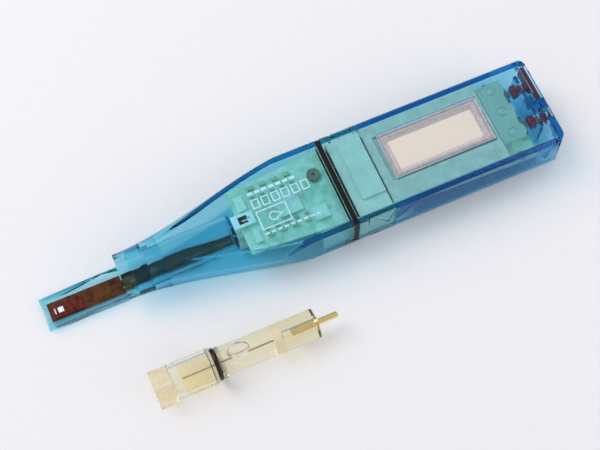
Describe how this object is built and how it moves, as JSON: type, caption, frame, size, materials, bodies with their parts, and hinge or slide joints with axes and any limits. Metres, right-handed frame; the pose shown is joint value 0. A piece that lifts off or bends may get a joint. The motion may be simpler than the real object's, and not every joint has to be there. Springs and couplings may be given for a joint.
{
  "type": "ph meter",
  "caption": "Slim see-through pocket meter with an open sensor tongue, display window and push buttons, and its removable reference cartridge lying beside it.",
  "frame": {"origin": "centre of the meter's flat back, halfway between the sensor tip and the button end", "axes": "+X from the sensor tip to the button end, +Z out of the display face, +Y across the case away from the cartridge"},
  "size_m": [0.175, 0.0611, 0.0154],
  "materials": {
    "probe_tip_plastic": "clear blue moulded, polished",
    "nose_shell_plastic": "clear blue moulded, polished",
    "white_print": "printed ink",
    "sensor_ceramic": "glazed brown",
    "dark_potting": "glossy resin",
    "sensor_silicon": "polished",
    "temperature_silicon": "polished",
    "ribbon_black": "matte film",
    "connector_ivory": "moulded",
    "socket_white": "moulded",
    "socket_gold": "gold plated",
    "main_board_laminate": "solder mask",
    "chip_body": "moulded",
    "capacitor_tan": "sintered",
    "resistor_black": "sintered",
    "buzzer_dark": "moulded",
    "frame_white": "moulded",
    "cell_steel": "satin nickel",
    "contact_tin_minus": "tin plated",
    "contact_tin_plus": "tin plated",
    "header_brass": "plated",
    "gasket_rubber": "matte black",
    "collar_plastic": "clear blue moulded, polished",
    "plate_white": "moulded",
    "rear_case_plastic": "clear blue moulded, polished",
    "lens_clear": "polished",
    "bezel_grey": "satin",
    "lcd_cream": "satin polariser",
    "strip_rubber": "matte",
    "carrier_white": "moulded",
    "display_board_laminate": "solder mask",
    "header_socket_black": "moulded",
    "switch_grey": "moulded",
    "cover_translucent": "frosted",
    "guide_blue": "clear blue moulded",
    "screw_steel": "zinc plated",
    "power_button_red": "clear red moulded",
    "calibrate_button_red": "clear red moulded",
    "barrel_clear": "clear acrylic",
    "head_frosted": "frosted acrylic",
    "o_ring_rubber": "matte black",
    "junction_ceramic": "porous",
    "gel_yellow": "soft gel",
    "wire_silver": "drawn",
    "electrolyte_liquid": "liquid",
    "plug_cream": "moulded",
    "pin_gold": "gold plated"
  },
  "bodies": {
    "front_half": {"probe_tip": "probe_tip_plastic", "nose_shell": "nose_shell_plastic", "printed_marks": "white_print", "sensor_strip": "sensor_ceramic", "sensor_encapsulation": "dark_potting", "isfet_chip": "sensor_silicon", "temperature_chip": "temperature_silicon", "sensor_flex": "ribbon_black", "flex_connector": "connector_ivory", "socket_housing": "socket_white", "pin_socket": "socket_gold", "main_board": "main_board_laminate", "board_chips": "chip_body", "board_capacitors": "capacitor_tan", "board_resistors": "resistor_black", "buzzer": "buzzer_dark", "inner_frame": "frame_white", "coin_cells": "cell_steel", "battery_contact_minus": "contact_tin_minus", "battery_contact_plus": "contact_tin_plus", "board_header": "header_brass", "gasket": "gasket_rubber"},
    "rear_half": {"collar": "collar_plastic", "case_plate": "plate_white", "rear_case": "rear_case_plastic", "window_lens": "lens_clear", "display_bezel": "bezel_grey", "lcd_panel": "lcd_cream", "contact_strips": "strip_rubber", "display_carrier": "carrier_white", "display_board": "display_board_laminate", "header_socket": "header_socket_black", "tact_switches": "switch_grey", "switch_cover": "cover_translucent", "button_guide": "guide_blue", "board_screws": "screw_steel"},
    "power_key": {"power_button": "power_button_red"},
    "calibrate_key": {"calibrate_button": "calibrate_button_red"},
    "cartridge": {"cartridge_barrel": "barrel_clear", "cartridge_head": "head_frosted", "cartridge_o_ring": "o_ring_rubber", "junction_plug": "junction_ceramic", "salt_gel": "gel_yellow", "silver_wire": "wire_silver", "electrolyte": "electrolyte_liquid", "inner_plug": "plug_cream", "contact_pin": "pin_gold"}
  },
  "joints": [
    {"name": "case_slide", "type": "slide", "parent": "front_half", "child": "rear_half", "axis": [1, 0, 0], "range_m": [0, 0.03]},
    {"name": "power_press", "type": "slide", "parent": "rear_half", "child": "power_key", "axis": [-1, 0, 0], "range_m": [0, 0.0008], "stiffness_N_per_m": 1500},
    {"name": "calibrate_press", "type": "slide", "parent": "rear_half", "child": "calibrate_key", "axis": [-1, 0, 0], "range_m": [0, 0.0008], "stiffness_N_per_m": 1500},
    {"name": "cartridge_move", "type": "slide", "parent": "front_half", "child": "cartridge", "axis": [-0.9412, 0.3376, 0.0146], "range_m": [0, 0.1132]}
  ]
}
